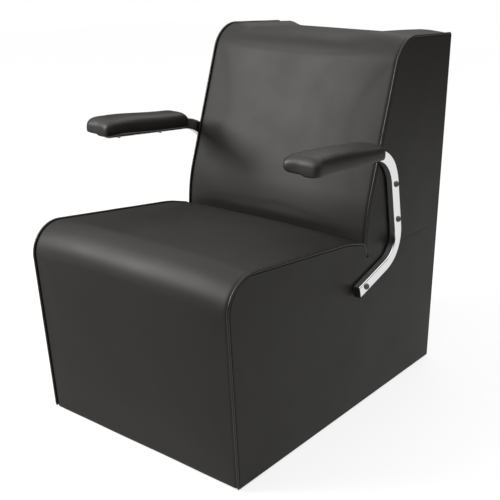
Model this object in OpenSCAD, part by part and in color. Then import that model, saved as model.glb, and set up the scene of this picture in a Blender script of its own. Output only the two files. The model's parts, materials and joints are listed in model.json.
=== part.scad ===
// Upholstered box chair for use under a salon hair dryer, with bolted chrome arm brackets.
// The front faces -Y, the sitter's left is +X and the floor is z = 0. Sizes are in millimetres.

/* [Box] */
// Depth along the floor, front edge to rear panel
floor_depth = 915; // [890:5:940]
// Width over the side covers at the front edge
front_width = 628; // [610:2:650]
// Angle by which each side leans in towards the rear, seen from above
toe_in = 1.55; // [0:0.05:2]
// Angle by which the front face leans out as it rises
front_rake = 5.3; // [4:0.1:6.5]
// Height of the floor glides
glide_h = 6; // [4:1:10]

/* [Seat] */
// Height of the sharp corner that the front and seat edges would make
front_corner_h = 519; // [510:1:530]
// Radius of the front edge of the seat
front_corner_r = 75; // [60:1:85]
// Fall of the seat edge towards the rear, in degrees
seat_fall = 5.1; // [4:0.1:6]
// Distance from the floor front edge to where the rear of the seat starts to roll down
seat_roll_y = 430; // [420:1:440]
// Distance from the floor front edge to the sharp corner that the rear of the seat would make
seat_depth = 514; // [510:1:516]
// Height of that corner
seat_rear_h = 456; // [452:1:460]
// Radius of the rear edge of the seat
seat_rear_r = 36; // [28:1:40]
// Distance from the floor front edge to the notch between the seat and the back
notch_y = 525; // [522:1:527]
// Height of the level seam between the base and the back
seam_h = 419; // [414:1:422]
// Rise of the crowned seat above its edges
seat_crown = 14; // [6:1:20]
// Swell of the padded front face
front_crown = 5; // [2:1:8]
// Foam thickness over the seat deck
seat_foam_t = 74; // [60:1:80]

/* [Back] */
// Distance from the floor front edge to the foot of the back's face
back_y = 512; // [510:1:516]
// Height up to which the foot of the back rolls in to the notch
back_roll_h = 446; // [444:1:452]
// Height at which the back starts to recline
kink_h = 528; // [522:1:540]
// Recline of the back from upright, in degrees
back_recline = 16.5; // [14:0.5:18]
// Height of the rear top edge
rear_top_h = 947; // [930:0.5:960]
// Fall of the top towards the rear, in degrees
top_fall = 1.8; // [1.5:0.1:3]
// Radius of the front top edge
top_corner_r = 88; // [70:1:95]
// Swell of the back's padded face
back_crown = 12; // [6:1:16]
// Height of the two raised ends of the top above its edges
top_ear = 5; // [0:1:8]
// Depth of the dip in the middle of the top
top_dip = 8; // [0:1:9]
// Foam thickness in front of the back panel
back_foam_t = 48; // [40:1:60]

/* [Boards and covers] */
// Plywood thickness of the side, front and rear boards
board_t = 18; // [15:1:20]
// Cover and padding over the front, seat and back
wrap_t = 12; // [10:1:14]
// Cover and padding over the side boards
side_cover_t = 4; // [3:0.5:5]
// Rear cover
rear_cover_t = 3; // [2:0.5:4]
// Radius of the piped edge
welt_r = 3; // [2.5:0.5:3.5]

/* [Arms] */
// Height of the arm tube in the plane of its bends
bar_h = 31; // [28:1:33]
// Width of the arm tube, across the chair
bar_w = 20; // [16:1:22]
// Wall of the arm tube
bar_wall = 2; // [1.5:0.1:2.5]
// Arm pad length
pad_len = 305; // [290:5:315]
// Arm pad width
pad_w = 92; // [86:1:98]
// Arm pad height at its crown
pad_h = 44; // [42:1:50]
// Radius of the arm pad's corners, seen from above
pad_corner_r = 15; // [10:1:20]
// Fall of the arm pad towards the rear, in degrees
pad_fall = 3; // [0:0.5:4]
// Distance of the pad's middle outside the tube's middle
pad_outset = 1; // [0:1:6]
// Height by which the tube stands below the arm pad
tube_drop = 9; // [6:1:12]
// Distance between the two bolts of the upright run
bolt_spacing = 100; // [80:1:105]

/* [Dryer mount] */
// Bolt spacing across the chair
mount_dx = 180; // [120:5:240]
// Bolt spacing up the back
mount_dz = 120; // [80:5:160]
// Height of the middle of the four bolts
mount_z = 790; // [760:5:800]
// Bolt hole radius
mount_hole_r = 4.25; // [3.25:0.25:5.25]

/* [Hidden] */
$fn = 48;

vinyl = [0.21, 0.21, 0.21];
vinyl_side = [0.17, 0.17, 0.17];
ply = [0.76, 0.61, 0.42];
foam = [0.93, 0.88, 0.72];
chrome = [0.82, 0.83, 0.85];
zinc = [0.62, 0.62, 0.60];
black = [0.06, 0.06, 0.06];

half_w = front_width / 2;
bend_steps = 8;
far = 1200;
bite = 0.15;

// Plane geometry, in y and z
function unit(v) = v / norm(v);
function left_of(v) = [-v[1], v[0]];
function spun(v, a) = [v[0] * cos(a) - v[1] * sin(a), v[0] * sin(a) + v[1] * cos(a)];
function spot(c, i) = [c[i][0], c[i][1]];
function heading(c, i) = unit(spot(c, i + 1) - spot(c, i));
function turn(c, i) = atan2(cross(heading(c, i - 1), heading(c, i)), heading(c, i - 1) * heading(c, i));
function reach(c, i) = c[i][2] * tan(abs(turn(c, i)) / 2);
function bend_centre(c, i) =
    spot(c, i) + unit(heading(c, i) - heading(c, i - 1)) * c[i][2] / cos(turn(c, i) / 2);

// Ends of the straight run that follows corner i of a route of [y, z, radius] corners
function run_start(c, i) = i == 0 ? spot(c, 0) : spot(c, i) + heading(c, i) * reach(c, i);
function run_end(c, i) =
    i == len(c) - 2 ? spot(c, i + 1) : spot(c, i + 1) - heading(c, i) * reach(c, i + 1);

// Samples [y, z, normal y, normal z] along a route, with the normal on its outer side
function bend_samples(c, i) =
    let (n0 = left_of(heading(c, i - 1)), m = bend_centre(c, i), s = turn(c, i) < 0 ? 1 : -1)
    [for (k = [0:bend_steps])
        let (n = spun(n0, turn(c, i) * k / bend_steps)) concat(m + n * s * c[i][2], n)];
function run_samples(c, i, gap) =
    let (a = run_start(c, i), b = run_end(c, i), m = ceil(norm(b - a) / gap))
    [for (k = [1:1:m - 1]) concat(a + (b - a) * k / m, left_of(heading(c, i)))];
function samples(c, gap = far) =
    [for (i = [0:len(c) - 1]) each concat(
        i == 0 ? [concat(spot(c, 0), left_of(heading(c, 0)))] :
        i == len(c) - 1 ? [concat(spot(c, i), left_of(heading(c, i - 1)))] : bend_samples(c, i),
        i < len(c) - 1 ? run_samples(c, i, gap) : [])];
function inset(c, d) = [for (s = samples(c)) [s[0] - s[2] * d, s[1] - s[3] * d]];

// Half the width between the sides at depth y, inside a layer of the given thickness
function half_at(y, layer) = half_w - layer / cos(toe_in) - y * tan(toe_in);

// Smooth step from 0 at a to 1 at b
function ease(a, b, v) = let (q = min(1, max(0, (v - a) / (b - a)))) q * q * (3 - 2 * q);

// Edge of the base, from the floor over the front and the seat to the seam
base_z = glide_h;
front_corner_y = -(front_corner_h - base_z) * tan(front_rake);
function seat_line(y) = front_corner_h - (y - front_corner_y) * tan(seat_fall);
seat_roll_r = 300;
notch_gap = 2;
seat_edge = [
    [0, base_z, 0],
    [front_corner_y, front_corner_h, front_corner_r],
    [seat_roll_y, seat_line(seat_roll_y), seat_roll_r],
    [seat_depth, seat_rear_h, seat_rear_r],
    [notch_y - notch_gap, seam_h, 0]
];
seat_end = spot(seat_edge, 4);

// Edge of the back, from the seam up the front and over the top to the rear
kink_y = back_y + 3;
kink_r = 380;
back_roll_r = 50;
top_corner_y = (rear_top_h - kink_h + floor_depth * tan(top_fall) + kink_y / tan(back_recline))
    / (1 / tan(back_recline) + tan(top_fall));
top_corner_h = rear_top_h + (floor_depth - top_corner_y) * tan(top_fall);
back_edge = [
    [notch_y, seam_h, 0],
    [back_y, back_roll_h, back_roll_r],
    [kink_y, kink_h, kink_r],
    [top_corner_y, top_corner_h, top_corner_r],
    [floor_depth, rear_top_h, 0]
];

// The model's middle in depth, between the seat's foremost point and the rear cover
front_reach = bend_centre(seat_edge, 1)[0] - front_corner_r - front_crown;
mid_y = (floor_depth + front_reach) / 2;

dust_t = 1;
frame_z = base_z + dust_t;
inner = side_cover_t + board_t;
rear_y = floor_depth - rear_cover_t;
deck_t = 15;
seat_deck_drop = (wrap_t + seat_foam_t) / cos(seat_fall);
post_w = 45;
post_gap = 4;
front_post_y = board_t + wrap_t + post_gap;
rail_y = notch_y + 3;
rail_h = 70;
panel_t = 12;
back_bolt_x = 190;
back_bolt_ys = [640, 820];

// Centre line of the arm tube, from the pad over the two bends to the lower end
bar_x = 13;
washer_t = bar_x - bar_w / 2;
bar_front_y = 225;
upper_bend_y = 589;
upper_bend_h = 682;
bar_route = [
    [bar_front_y, upper_bend_h + (upper_bend_y - bar_front_y) * tan(pad_fall), 0],
    [upper_bend_y, upper_bend_h, 110],
    [654, 406, 76],
    [457, 347, 0]
];
bore_route = [
    concat(spot(bar_route, 0) - heading(bar_route, 0), 0), bar_route[1],
    bar_route[2], concat(spot(bar_route, 3) + heading(bar_route, 2), 0)
];
upper_bolt_drop = 6;
lower_bolt_back = 30;
arm_bolt_spots = [
    run_start(bar_route, 1) + heading(bar_route, 1) * upper_bolt_drop,
    run_start(bar_route, 1) + heading(bar_route, 1) * (upper_bolt_drop + bolt_spacing),
    run_end(bar_route, 2) - heading(bar_route, 2) * lower_bolt_back
];
arm_bolt_r = 4;
bolt_clear = 0.3;
tee_barrel_r = 5;
tee_flange_r = 11;
tee_flange_t = 1.5;
tee_barrel_l = 9;
pad_lead = 39;
slot_h = bar_h - tube_drop;
plate_t = 4;
plate_w = 60;
plate_inset = 14;
screw_ys = [pad_lead + 40, pad_lead + 190];
screw_r = 3;
back_bolt_r = 4;
glide_r = 15;
glide_edge = 50;
nail_r = 1.5;
nail_l = 22;

module in_place() translate([0, -mid_y, 0]) children();

// The plane of one side: x = 0 is the outer face of its cover, outwards is +X
module on_side(side)
    in_place() mirror([side < 0 ? 1 : 0, 0, 0]) translate([half_w, 0, 0]) rotate([0, 0, toe_in]) children();

// Stands a y, z drawing up, with its thickness along X
module upright() rotate([90, 0, 90]) children();
module plate(points, x, t) translate([x, 0, 0]) upright() linear_extrude(t) polygon(points);
module across(points) translate([-half_w, 0, 0]) upright() linear_extrude(front_width) polygon(points);

// Everything between the two sides, inside a layer of the given thickness
module between_sides(layer)
    linear_extrude(far)
        polygon([for (q = [[-1, -100], [1, -100], [1, far], [-1, far]]) [q[0] * half_at(q[1], layer), q[1]]]);

// Carries a section along the straight runs and the bends of a route. The runs are a hair thinner than
// the bends, by the given ratio, and end a little inside them, so that each joins the next.
module sweep(c, slimmer) {
    last = len(c) - 2;
    for (i = [0:last])
        let (a = run_start(c, i), back = i > 0 ? bite : 0, on = i < last ? bite : 0)
            translate(a)
                rotate([0, 0, atan2(heading(c, i)[1], heading(c, i)[0])])
                    translate([-back, 0, 0]) upright()
                        linear_extrude(norm(run_end(c, i) - a) + back + on) scale(slimmer) children();
    for (i = [1:last])
        let (m = bend_centre(c, i), p = turn(c, i) > 0 ? run_end(c, i - 1) : run_start(c, i))
            translate(m)
                rotate([0, 0, atan2(p[1] - m[1], p[0] - m[0])])
                    rotate_extrude(angle = abs(turn(c, i))) translate([c[i][2], 0]) children();
}

// Skins a row of equal closed rings, with flat ends. Each ring goes out along one face of a sheet and
// back along the other, or round a solid form, and the ends are closed in strips across it.
module loft(rings) {
    n = len(rings[0]);
    last = (len(rings) - 1) * n;
    polyhedron(
        points = [for (ring = rings) each ring],
        faces = concat(
            [for (k = [0:n / 2 - 2]) each [
                [k, k + 1, n - 2 - k, n - 1 - k],
                [last + n - 1 - k, last + n - 2 - k, last + k + 1, last + k]]],
            [for (j = [0:len(rings) - 2], k = [0:n - 1])
                let (a = j * n + k, b = j * n + (k + 1) % n) each [[a, a + n, b], [b, a + n, b + n]]]));
}

// Outlines of the sides
function base_side(d) = let (p = inset(seat_edge, d))
    concat([[d / cos(front_rake), base_z]], [for (i = [1:len(p) - 1]) p[i]],
        [seat_end, [rear_y, seam_h], [rear_y, base_z]]);
function back_side(d) = let (p = inset(back_edge, d), n = len(p) - 1)
    concat([spot(back_edge, 0)], [for (i = [0:n - 1]) p[i]],
        [[rear_y, p[n][1] + (p[n][0] - rear_y) * tan(top_fall)], [rear_y, seam_h]]);

// Fixings
// A hexagon head's radius over its corners and its height, as shares of the shank's radius
hex_corner = 1.85;
hex_height = 1.3;
module hex_bolt(r, l) {
    cylinder(r = r, h = l);
    translate([0, 0, -hex_height * r]) cylinder(r = hex_corner * r, h = hex_height * r, $fn = 6);
}
module button_bolt(r, l, head_r, head_h) {
    cylinder(r = r, h = l);
    difference() {
        translate([0, 0, -head_h]) cylinder(r1 = head_r * 0.72, r2 = head_r, h = head_h);
        translate([0, 0, -head_h - 1]) cylinder(r = head_r * 0.36, h = head_h * 0.7 + 1, $fn = 6);
    }
}
module tee_nut(bore) {
    difference() {
        union() {
            cylinder(r = tee_flange_r, h = tee_flange_t);
            cylinder(r = tee_barrel_r + 0.75, h = tee_flange_t + tee_barrel_l);
        }
        translate([0, 0, -1]) cylinder(r = bore, h = tee_flange_t + tee_barrel_l + 2);
    }
}

module arm_bolt_places(spots) for (p = spots) translate([0, p[0], p[1]]) rotate([0, -90, 0]) children();
module mount_places()
    for (sx = [-1, 1], sz = [-1, 1])
        translate([sx * mount_dx / 2, floor_depth, mount_z + sz * mount_dz / 2])
            rotate([90, 0, 0]) children();
module glide_places()
    for (side = [-1, 1], y = [glide_edge, rear_y - glide_edge])
        on_side(side) translate([-inner - post_w / 2, y, 0]) children();
module back_bolt_places()
    in_place() for (sx = [-1, 1], y = back_bolt_ys) translate([sx * back_bolt_x, y, seam_h]) children();

// Base frame
module base_side_board(side) color(ply) on_side(side) difference() {
    plate(concat([[wrap_t / cos(front_rake), frame_z]], [for (p = base_side(wrap_t)) if (p[1] > frame_z) p],
        [[rear_y, frame_z]]), -inner, board_t);
    arm_bolt_places([arm_bolt_spots[2]])
        translate([0, 0, -1]) cylinder(r = arm_bolt_r + bolt_clear, h = inner + 2 - tee_barrel_l);
    arm_bolt_places([arm_bolt_spots[2]])
        translate([0, 0, inner - tee_barrel_l]) cylinder(r = tee_barrel_r + 0.75, h = tee_barrel_l + 1);
}
module base_side_board_left() base_side_board(1);
module base_side_board_right() base_side_board(-1);

module lean_back(t, top) rotate([front_rake, 0, 0])
    translate([-half_w, wrap_t, 0]) cube([front_width, t, top]);

module base_front_board() color(ply) in_place() intersection() {
    between_sides(inner);
    translate([0, 0, base_z]) lean_back(board_t, far);
    across([[-100, frame_z], [300, frame_z],
        [300, deck_line(300) - deck_t], [-100, deck_line(-100) - deck_t]]);
}

// Height of the top of the seat deck at depth y
function deck_line(y) = seat_line(y) - seat_deck_drop;

module base_rear_board() color(ply) in_place() intersection() {
    between_sides(inner);
    translate([-half_w, rear_y - board_t, frame_z]) cube([front_width, board_t, seam_h - board_t - frame_z]);
}
module corner_posts() color(ply) difference() {
    union() for (side = [-1, 1]) on_side(side) {
        translate([-inner - post_w, front_post_y, frame_z])
            cube([post_w, post_w, deck_line(front_post_y + post_w) - deck_t - frame_z]);
        translate([-inner - post_w, rear_y - board_t - post_w - 1, frame_z])
            cube([post_w, post_w, seam_h - board_t - frame_z]);
    }
    glide_places() cylinder(r = nail_r + 0.25, h = glide_h + nail_l + 4);
}
module seat_deck() color(ply) in_place() intersection() {
    between_sides(inner);
    across([[-100, deck_line(-100)], [rail_y, deck_line(rail_y)],
        [rail_y, deck_line(rail_y) - deck_t], [-100, deck_line(-100) - deck_t]]);
    translate([0, 0, base_z]) lean_back(far, far);
}
module rear_deck() color(ply) difference() {
    in_place() intersection() {
        between_sides(inner);
        translate([-half_w, rail_y, seam_h - board_t]) cube([front_width, rear_y - rail_y, board_t]);
    }
    back_bolt_places()
        translate([0, 0, -board_t - 1]) cylinder(r = back_bolt_r + bolt_clear, h = board_t + 2);
}
module seat_rear_rail() color(ply) in_place() intersection() {
    between_sides(inner);
    translate([-half_w, rail_y, seam_h - board_t - rail_h]) cube([front_width, board_t, rail_h]);
}
module dust_cover() color(black) difference() {
    in_place() intersection() {
        between_sides(side_cover_t + 2);
        translate([-half_w, wrap_t + 1, base_z]) cube([front_width, rear_y - wrap_t - 1, dust_t]);
    }
    glide_places() cylinder(r = nail_r + 0.25, h = glide_h + nail_l);
}
module glides() color(black) glide_places() {
    cylinder(r1 = glide_r - 2, r2 = glide_r, h = glide_h);
    cylinder(r = nail_r, h = glide_h + nail_l);
}

// Base soft parts
function bulge(t) = 1 - pow(abs(t), 3);
function stations(n) = [for (k = [-n:n]) sin(90 * k / n)];
module padded_sheet(edge, gap, half_layer, rise) {
    s = samples(edge, gap);
    loft([for (t = stations(6))
        let (
            out = [for (q = s) let (r = rise(q, t)) [q[0] + q[2] * r, q[1] + q[3] * r]],
            back = [for (k = [len(s) - 1:-1:0]) [s[k][0] - s[k][2] * wrap_t, s[k][1] - s[k][3] * wrap_t]])
        [for (p = concat(out, back)) [t * half_at(p[0], half_layer), p[0], p[1]]]]);
}
seat_rise = function (q, t) bulge(t) * ease(base_z, base_z + 120, q[1])
    * (front_crown * max(0, -q[2])
        + seat_crown * max(0, q[3]) * (1 - 0.3 * ease(300, 480, q[0])) * ease(seam_h, seam_h + 30, q[1]));

module seat_foam() color(foam) in_place() intersection() {
    between_sides(inner);
    across(base_side(wrap_t));
    across([[-100, deck_line(-100)], [rail_y - 1, deck_line(rail_y - 1)], [rail_y - 1, far], [-100, far]]);
}
module seat_cover() color(vinyl) in_place() padded_sheet(seat_edge, 70, side_cover_t + 2, seat_rise);
module base_side_cover(side) color(vinyl_side) on_side(side) difference() {
    plate(base_side(welt_r), -side_cover_t, side_cover_t);
    arm_bolt_places([arm_bolt_spots[2]])
        translate([0, 0, -1]) cylinder(r = arm_bolt_r + bolt_clear, h = side_cover_t + 2);
}
module base_side_cover_left() base_side_cover(1);
module base_side_cover_right() base_side_cover(-1);
module base_rear_cover() color(vinyl_side) in_place() intersection() {
    between_sides(0);
    translate([-half_w, rear_y, base_z]) cube([front_width, rear_cover_t, seam_h - base_z - 1]);
}
module welt(side, edge) color(vinyl_side)
    on_side(side) translate([-welt_r, 0, 0]) upright() sweep(edge, 0.985) circle(welt_r);
module seat_welt_left() welt(1, seat_edge);
module seat_welt_right() welt(-1, seat_edge);

// Back frame
panel_y = kink_y + (wrap_t + back_foam_t) / cos(back_recline);
function panel_line(z) = panel_y + (z - kink_h) * tan(back_recline);
top_foam_t = 26;
function top_line(y) =
    top_corner_h - (y - top_corner_y) * tan(top_fall) - (wrap_t + top_foam_t) / cos(top_fall);
slopes = tan(top_fall) * tan(back_recline);
panel_top = (top_line(panel_y) + slopes * kink_h) / (1 + slopes);

module back_side_board(side) color(ply) on_side(side) difference() {
    plate(back_side(wrap_t), -inner, board_t);
    arm_bolt_places([arm_bolt_spots[0], arm_bolt_spots[1]])
        translate([0, 0, -1]) cylinder(r = arm_bolt_r + bolt_clear, h = inner + 2 - tee_barrel_l);
    arm_bolt_places([arm_bolt_spots[0], arm_bolt_spots[1]])
        translate([0, 0, inner - tee_barrel_l]) cylinder(r = tee_barrel_r + 0.75, h = tee_barrel_l + 1);
}
module back_side_board_left() back_side_board(1);
module back_side_board_right() back_side_board(-1);
module back_panel() color(ply) in_place() intersection() {
    between_sides(inner);
    across([for (q = [[seam_h, 0], [rear_top_h, 0], [rear_top_h, panel_t], [seam_h, panel_t]])
        [panel_line(q[0]) + q[1] / cos(back_recline), q[0]]]);
    across([[0, 0], [far, 0], [far, top_line(far) - board_t], [0, top_line(0) - board_t]]);
}
module back_top_rail() color(ply) in_place() intersection() {
    between_sides(inner);
    across([[0, top_line(0)], [rear_y - board_t, top_line(rear_y - board_t)],
        [rear_y - board_t, top_line(rear_y - board_t) - board_t], [0, top_line(0) - board_t]]);
    across([[panel_line(seam_h), seam_h], [far, seam_h], [far, far], [panel_line(far), far]]);
}
module back_rear_board() color(ply) in_place() difference() {
    intersection() {
        between_sides(inner);
        across([[rear_y - board_t, seam_h], [rear_y, seam_h], [rear_y, rear_top_h - wrap_t],
            [rear_y - board_t, rear_top_h - wrap_t]]);
    }
    mount_places() translate([0, 0, -1]) cylinder(r = mount_hole_r, h = 40);
}
module back_bottom_board() color(ply) difference() {
    in_place() intersection() {
        between_sides(inner);
        translate([-half_w, panel_line(seam_h + board_t) + panel_t + 2, seam_h])
            cube([front_width, rear_y - board_t - panel_line(seam_h + board_t) - panel_t - 2, board_t]);
    }
    back_bolt_places() translate([0, 0, -1]) cylinder(r = back_bolt_r + bolt_clear, h = board_t + 2);
}
mount_board_t = 28;
mount_board_h = 190;
module dryer_mount_board() color(ply) in_place() difference() {
    intersection() {
        between_sides(inner);
        translate([-half_w, rear_y - board_t - mount_board_t, mount_z - mount_board_h / 2])
            cube([front_width, mount_board_t, mount_board_h]);
    }
    mount_places() cylinder(r = mount_hole_r, h = 60);
    mount_places() translate([0, 0, rear_cover_t + board_t + mount_board_t - tee_barrel_l])
        cylinder(r = tee_barrel_r + 0.75, h = 20);
}
module dryer_mount_tee_nuts() color(zinc) in_place() mount_places()
    translate([0, 0, rear_cover_t + board_t + mount_board_t + tee_flange_t])
        mirror([0, 0, 1]) tee_nut(mount_hole_r);
module back_bolts() color(zinc) back_bolt_places()
    translate([0, 0, -board_t]) hex_bolt(back_bolt_r, 2 * board_t + 10);
module back_nuts() color(zinc) back_bolt_places() translate([0, 0, board_t]) difference() {
    cylinder(r = hex_corner * back_bolt_r, h = 6.5, $fn = 6);
    translate([0, 0, -1]) cylinder(r = back_bolt_r, h = 9);
}

// Back soft parts
// The top dips between two raised ends
function at_end(t) = ease(0.35, 0.7, abs(t));
back_rise = function (q, t)
    bulge(t) * back_crown * max(0, -q[2]) * ease(seam_h + 10, seam_h + 130, q[1])
    + ease(0.6, 1, q[3]) * (at_end(t) * top_ear * (1 - ease(0.75, 1, abs(t))) - (1 - at_end(t)) * top_dip);

module back_foam() color(foam) in_place() difference() {
    intersection() {
        between_sides(inner);
        across(back_side(wrap_t));
        across([[0, 0], [rear_y - board_t, 0], [rear_y - board_t, far], [0, far]]);
    }
    across([[panel_line(0), 0], [panel_line(panel_top), panel_top], [far, top_line(far)], [far, 0]]);
}
module back_cover() color(vinyl) in_place() padded_sheet(back_edge, 60, side_cover_t + 2, back_rise);
module back_side_cover(side) color(vinyl_side) on_side(side) difference() {
    plate(back_side(welt_r), -side_cover_t, side_cover_t);
    arm_bolt_places([arm_bolt_spots[0], arm_bolt_spots[1]])
        translate([0, 0, -1]) cylinder(r = arm_bolt_r + bolt_clear, h = side_cover_t + 2);
}
module back_side_cover_left() back_side_cover(1);
module back_side_cover_right() back_side_cover(-1);
module back_rear_cover() color(vinyl_side) in_place() difference() {
    intersection() {
        between_sides(0);
        translate([-half_w, rear_y, seam_h + 1])
            cube([front_width, rear_cover_t, rear_top_h - wrap_t - seam_h - 2]);
    }
    mount_places() translate([0, 0, -1]) cylinder(r = mount_hole_r, h = rear_cover_t + 2);
}
module back_welt_left() welt(1, back_edge);
module back_welt_right() welt(-1, back_edge);

// Arms
bar_corner_r = 3.5;
module bar_section(grow) {
    r = bar_corner_r + grow;
    h = bar_h / 2 + grow;
    w = bar_w / 2 + grow;
    square([2 * h, 2 * (w - r)], center = true);
    square([2 * (h - r), 2 * w], center = true);
    for (sx = [-1, 1], sy = [-1, 1]) translate([sx * (h - r), sy * (w - r)]) circle(r);
}
module arm_frame(side) on_side(side) translate([bar_x, 0, 0]) children();

// The arm pad's own frame: y = 0 is its front, z = 0 its underside and x = 0 the tube's middle
pad_along = heading(bar_route, 0);
pad_origin = spot(bar_route, 0) - pad_along * pad_lead - left_of(pad_along) * (bar_h / 2 - tube_drop);
module pad_frame(side)
    arm_frame(side) translate([0, pad_origin[0], pad_origin[1]]) rotate([-pad_fall, 0, 0]) children();

module arm_bracket(side) color(chrome) difference() {
    arm_frame(side) upright() difference() {
        sweep(bar_route, 0.997) bar_section(0);
        sweep(bore_route, 0.997) bar_section(-bar_wall);
    }
    on_side(side) arm_bolt_places(arm_bolt_spots)
        translate([0, 0, -bar_x - bar_w]) cylinder(r = arm_bolt_r + bolt_clear, h = bar_x + bar_w);
    pad_frame(side) for (y = screw_ys)
        translate([0, y, -tube_drop - 1]) cylinder(r = screw_r + bolt_clear, h = bar_h + 2);
}
module arm_bracket_left() arm_bracket(1);
module arm_bracket_right() arm_bracket(-1);

module bracket_plug(side) color(black) arm_frame(side) translate([0, bar_route[3][0], bar_route[3][1]])
    rotate([atan2(heading(bar_route, 2)[1], -heading(bar_route, 2)[0]) * -1, 0, 0]) {
        rotate([90, 0, 0]) linear_extrude(2) rotate(90) bar_section(-0.5);
        translate([0, 16, 0]) rotate([90, 0, 0]) linear_extrude(16) rotate(90) bar_section(-bar_wall - 0.2);
    }
module bracket_plug_left() bracket_plug(1);
module bracket_plug_right() bracket_plug(-1);

module arm_bolts() color(chrome) for (side = [-1, 1]) on_side(side) arm_bolt_places(arm_bolt_spots)
    translate([0, 0, -bar_x - bar_w / 2]) button_bolt(arm_bolt_r, 50, 8.3, 4.6);
module arm_washers() color(black) for (side = [-1, 1]) on_side(side) arm_bolt_places(arm_bolt_spots)
    translate([0, 0, -washer_t]) difference() {
        cylinder(r = 9, h = washer_t);
        translate([0, 0, -1]) cylinder(r = arm_bolt_r + bolt_clear, h = washer_t + 2);
    }
module arm_tee_nuts() color(zinc) for (side = [-1, 1]) on_side(side) arm_bolt_places(arm_bolt_spots)
    translate([0, 0, inner + tee_flange_t]) mirror([0, 0, 1]) tee_nut(arm_bolt_r);

// Half-size of a form with rounded ends, at a distance in from its nearer end
function rounded(half, r, d) = half - r + sqrt(r * r - pow(max(0, r - d), 2));
function power(v, p) = sign(v) * pow(abs(v), p);
pad_low = 18;
pad_top_r = 16;
pad_foot_r = 5;
pad_end = [for (k = [0:4]) max(pad_corner_r, pad_top_r) * (1 - cos(22.5 * k))];
pad_stations = concat(
    pad_end, [for (k = [1:3]) k * pad_len / 4], [for (k = [4:-1:0]) pad_len - pad_end[k]]);
module arm_pad(side) color(vinyl) pad_frame(side) difference() {
    translate([pad_outset, 0, 0]) loft([for (y = pad_stations)
        let (d = min(y, pad_len - y), a = rounded(pad_w / 2, pad_corner_r, d),
            up = rounded(pad_h - pad_low, pad_top_r, d), down = rounded(pad_low, pad_foot_r, d))
        [for (j = [23:-1:0]) let (c = cos(15 * j), e = sin(15 * j))
            [a * power(c, 0.42), y, pad_low + (e > 0 ? up * power(e, 0.62) : down * power(e, 0.25))]]]);
    translate([-bar_w / 2 - 0.3, pad_lead - 1, -1]) cube([bar_w + 0.6, pad_len, slot_h + 1.3]);
    translate([pad_outset - plate_w / 2 - 0.3, plate_inset - 0.3, slot_h])
        cube([plate_w + 0.6, pad_len - 2 * plate_inset + 0.6, plate_t + 0.3]);
}
module arm_pad_left() arm_pad(1);
module arm_pad_right() arm_pad(-1);
module arm_pad_plate(side) color(zinc) pad_frame(side) difference() {
    translate([pad_outset - plate_w / 2, plate_inset, slot_h])
        cube([plate_w, pad_len - 2 * plate_inset, plate_t]);
    for (y = screw_ys) translate([0, y, slot_h - 1]) cylinder(r = screw_r, h = plate_t + 2);
}
module arm_pad_plate_left() arm_pad_plate(1);
module arm_pad_plate_right() arm_pad_plate(-1);
module arm_pad_screws() color(chrome) for (side = [-1, 1]) pad_frame(side)
    for (y = screw_ys) translate([0, y, -tube_drop]) button_bolt(screw_r, bar_h + plate_t, 5.5, 3);

base_side_board_left();
base_side_board_right();
base_front_board();
base_rear_board();
corner_posts();
seat_deck();
rear_deck();
seat_rear_rail();
dust_cover();
glides();
seat_foam();
seat_cover();
base_side_cover_left();
base_side_cover_right();
base_rear_cover();
seat_welt_left();
seat_welt_right();
back_side_board_left();
back_side_board_right();
back_panel();
back_top_rail();
back_rear_board();
back_bottom_board();
dryer_mount_board();
dryer_mount_tee_nuts();
back_foam();
back_cover();
back_side_cover_left();
back_side_cover_right();
back_rear_cover();
back_welt_left();
back_welt_right();
back_bolts();
back_nuts();
arm_bracket_left();
arm_bracket_right();
bracket_plug_left();
bracket_plug_right();
arm_bolts();
arm_washers();
arm_tee_nuts();
arm_pad_left();
arm_pad_right();
arm_pad_plate_left();
arm_pad_plate_right();
arm_pad_screws();
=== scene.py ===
import json
import logging
import math
from dataclasses import dataclass
from enum import Enum
from typing import Callable, Iterable, NamedTuple, Sequence

import bmesh
import bpy
import numpy as np
from mathutils import Matrix, Vector, noise


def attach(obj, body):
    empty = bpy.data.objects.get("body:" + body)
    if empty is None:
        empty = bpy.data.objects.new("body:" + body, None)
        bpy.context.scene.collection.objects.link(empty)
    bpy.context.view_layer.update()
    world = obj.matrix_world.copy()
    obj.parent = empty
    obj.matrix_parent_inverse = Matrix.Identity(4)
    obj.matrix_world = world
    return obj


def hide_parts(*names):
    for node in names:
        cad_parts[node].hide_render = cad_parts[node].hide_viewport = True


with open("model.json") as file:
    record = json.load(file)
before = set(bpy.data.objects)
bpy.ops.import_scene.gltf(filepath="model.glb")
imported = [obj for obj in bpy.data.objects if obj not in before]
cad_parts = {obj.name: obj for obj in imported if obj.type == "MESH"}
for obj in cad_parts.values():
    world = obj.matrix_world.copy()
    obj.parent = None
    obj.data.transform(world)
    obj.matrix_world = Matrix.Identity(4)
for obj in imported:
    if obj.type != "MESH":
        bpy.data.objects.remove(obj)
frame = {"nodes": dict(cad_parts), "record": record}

logging.basicConfig(level=logging.INFO, format="%(message)s")
LOG = logging.getLogger("dryer_chair")

MM = 0.001
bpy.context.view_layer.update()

Spot = tuple[float, float]
Point = tuple[float, float, float]
Corner = tuple[float, float, float]
Inputs = dict[str | int, object]


class Side(Enum):
    """The two sides of the chair, by the sitter's hand, with the sign of X."""

    LEFT = 1
    RIGHT = -1

    @property
    def word(self) -> str:
        """The word for this side in piece and node names."""
        return self.name.lower()


# Shared sizes and plane geometry


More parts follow.
